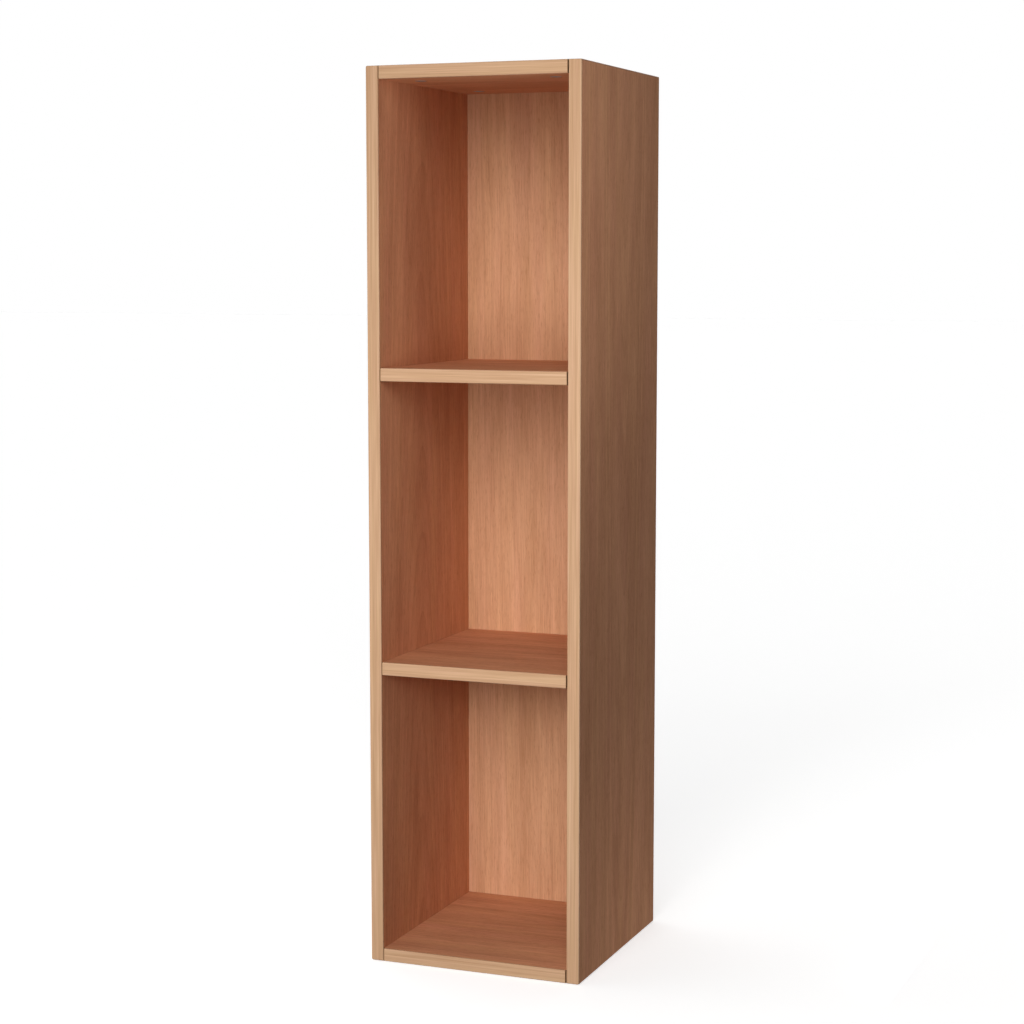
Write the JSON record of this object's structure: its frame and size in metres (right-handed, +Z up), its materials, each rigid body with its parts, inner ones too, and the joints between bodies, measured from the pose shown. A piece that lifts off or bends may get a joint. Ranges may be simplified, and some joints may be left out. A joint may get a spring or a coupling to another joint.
{
  "type": "office shelf",
  "caption": "Narrow upright open-fronted office shelf in beech-look board, with equal compartments for files, held together by cam locks.",
  "frame": {"origin": "on the floor below the middle of the shelf", "axes": "+Z up, front towards -Y, +X to the right seen from the front"},
  "size_m": [0.275, 0.29, 1.1],
  "materials": {
    "board": "beech-look melamine on chipboard, satin, raw rear edges",
    "edge_band": "ABS edge band printed with straight beech grain, rounded arrises",
    "back": "thin hardboard, beech-look face in front, raw brown behind",
    "zinc": "die-cast zinc, bare",
    "steel": "zinc-plated steel",
    "dowel": "bare solid beech"
  },
  "bodies": {
    "carcass": {"side_panel_left": "board", "side_panel_right": "board", "top_panel": "board", "upper_shelf": "board", "lower_shelf": "board", "bottom_panel": "board", "front_band_side_left": "edge_band", "front_band_side_right": "edge_band", "front_band_top_panel": "edge_band", "front_band_upper_shelf": "edge_band", "front_band_lower_shelf": "edge_band", "front_band_bottom_panel": "edge_band", "end_band_left_top": "edge_band", "end_band_left_bottom": "edge_band", "end_band_right_top": "edge_band", "end_band_right_bottom": "edge_band", "back_panel": "back", "bolt_top_left_front": "steel", "bolt_top_left_rear": "steel", "bolt_top_right_front": "steel", "bolt_top_right_rear": "steel", "bolt_upper_left_front": "steel", "bolt_upper_left_rear": "steel", "bolt_upper_right_front": "steel", "bolt_upper_right_rear": "steel", "bolt_lower_left_front": "steel", "bolt_lower_left_rear": "steel", "bolt_lower_right_front": "steel", "bolt_lower_right_rear": "steel", "bolt_bottom_left_front": "steel", "bolt_bottom_left_rear": "steel", "bolt_bottom_right_front": "steel", "bolt_bottom_right_rear": "steel", "dowel_top_left": "dowel", "dowel_top_right": "dowel", "dowel_upper_left": "dowel", "dowel_upper_right": "dowel", "dowel_lower_left": "dowel", "dowel_lower_right": "dowel", "dowel_bottom_left": "dowel", "dowel_bottom_right": "dowel"},
    "cam_top_left_front": {"cam_top_left_front": "zinc"},
    "cam_top_left_rear": {"cam_top_left_rear": "zinc"},
    "cam_top_right_front": {"cam_top_right_front": "zinc"},
    "cam_top_right_rear": {"cam_top_right_rear": "zinc"},
    "cam_upper_left_front": {"cam_upper_left_front": "zinc"},
    "cam_upper_left_rear": {"cam_upper_left_rear": "zinc"},
    "cam_upper_right_front": {"cam_upper_right_front": "zinc"},
    "cam_upper_right_rear": {"cam_upper_right_rear": "zinc"},
    "cam_lower_left_front": {"cam_lower_left_front": "zinc"},
    "cam_lower_left_rear": {"cam_lower_left_rear": "zinc"},
    "cam_lower_right_front": {"cam_lower_right_front": "zinc"},
    "cam_lower_right_rear": {"cam_lower_right_rear": "zinc"},
    "cam_bottom_left_front": {"cam_bottom_left_front": "zinc"},
    "cam_bottom_left_rear": {"cam_bottom_left_rear": "zinc"},
    "cam_bottom_right_front": {"cam_bottom_right_front": "zinc"},
    "cam_bottom_right_rear": {"cam_bottom_right_rear": "zinc"}
  },
  "joints": [
    {"name": "turn_top_left_front", "type": "hinge", "parent": "carcass", "child": "cam_top_left_front", "pos_m": [-0.0872, -0.095, 1.084], "axis": [0, 0, -1], "range_deg": [0, 180]},
    {"name": "turn_top_left_rear", "type": "hinge", "parent": "carcass", "child": "cam_top_left_rear", "pos_m": [-0.0872, 0.089, 1.084], "axis": [0, 0, -1], "range_deg": [0, 180]},
    {"name": "turn_top_right_front", "type": "hinge", "parent": "carcass", "child": "cam_top_right_front", "pos_m": [0.0872, -0.095, 1.084], "axis": [0, 0, -1], "range_deg": [0, 180]},
    {"name": "turn_top_right_rear", "type": "hinge", "parent": "carcass", "child": "cam_top_right_rear", "pos_m": [0.0872, 0.089, 1.084], "axis": [0, 0, -1], "range_deg": [0, 180]},
    {"name": "turn_upper_left_front", "type": "hinge", "parent": "carcass", "child": "cam_upper_left_front", "pos_m": [-0.0872, -0.095, 0.72267], "axis": [0, 0, -1], "range_deg": [0, 180]},
    {"name": "turn_upper_left_rear", "type": "hinge", "parent": "carcass", "child": "cam_upper_left_rear", "pos_m": [-0.0872, 0.089, 0.72267], "axis": [0, 0, -1], "range_deg": [0, 180]},
    {"name": "turn_upper_right_front", "type": "hinge", "parent": "carcass", "child": "cam_upper_right_front", "pos_m": [0.0872, -0.095, 0.72267], "axis": [0, 0, -1], "range_deg": [0, 180]},
    {"name": "turn_upper_right_rear", "type": "hinge", "parent": "carcass", "child": "cam_upper_right_rear", "pos_m": [0.0872, 0.089, 0.72267], "axis": [0, 0, -1], "range_deg": [0, 180]},
    {"name": "turn_lower_left_front", "type": "hinge", "parent": "carcass", "child": "cam_lower_left_front", "pos_m": [-0.0872, -0.095, 0.36133], "axis": [0, 0, -1], "range_deg": [0, 180]},
    {"name": "turn_lower_left_rear", "type": "hinge", "parent": "carcass", "child": "cam_lower_left_rear", "pos_m": [-0.0872, 0.089, 0.36133], "axis": [0, 0, -1], "range_deg": [0, 180]},
    {"name": "turn_lower_right_front", "type": "hinge", "parent": "carcass", "child": "cam_lower_right_front", "pos_m": [0.0872, -0.095, 0.36133], "axis": [0, 0, -1], "range_deg": [0, 180]},
    {"name": "turn_lower_right_rear", "type": "hinge", "parent": "carcass", "child": "cam_lower_right_rear", "pos_m": [0.0872, 0.089, 0.36133], "axis": [0, 0, -1], "range_deg": [0, 180]},
    {"name": "turn_bottom_left_front", "type": "hinge", "parent": "carcass", "child": "cam_bottom_left_front", "pos_m": [-0.0872, -0.095, 0], "axis": [0, 0, -1], "range_deg": [0, 180]},
    {"name": "turn_bottom_left_rear", "type": "hinge", "parent": "carcass", "child": "cam_bottom_left_rear", "pos_m": [-0.0872, 0.089, 0], "axis": [0, 0, -1], "range_deg": [0, 180]},
    {"name": "turn_bottom_right_front", "type": "hinge", "parent": "carcass", "child": "cam_bottom_right_front", "pos_m": [0.0872, -0.095, 0], "axis": [0, 0, -1], "range_deg": [0, 180]},
    {"name": "turn_bottom_right_rear", "type": "hinge", "parent": "carcass", "child": "cam_bottom_right_rear", "pos_m": [0.0872, 0.089, 0], "axis": [0, 0, -1], "range_deg": [0, 180]}
  ]
}
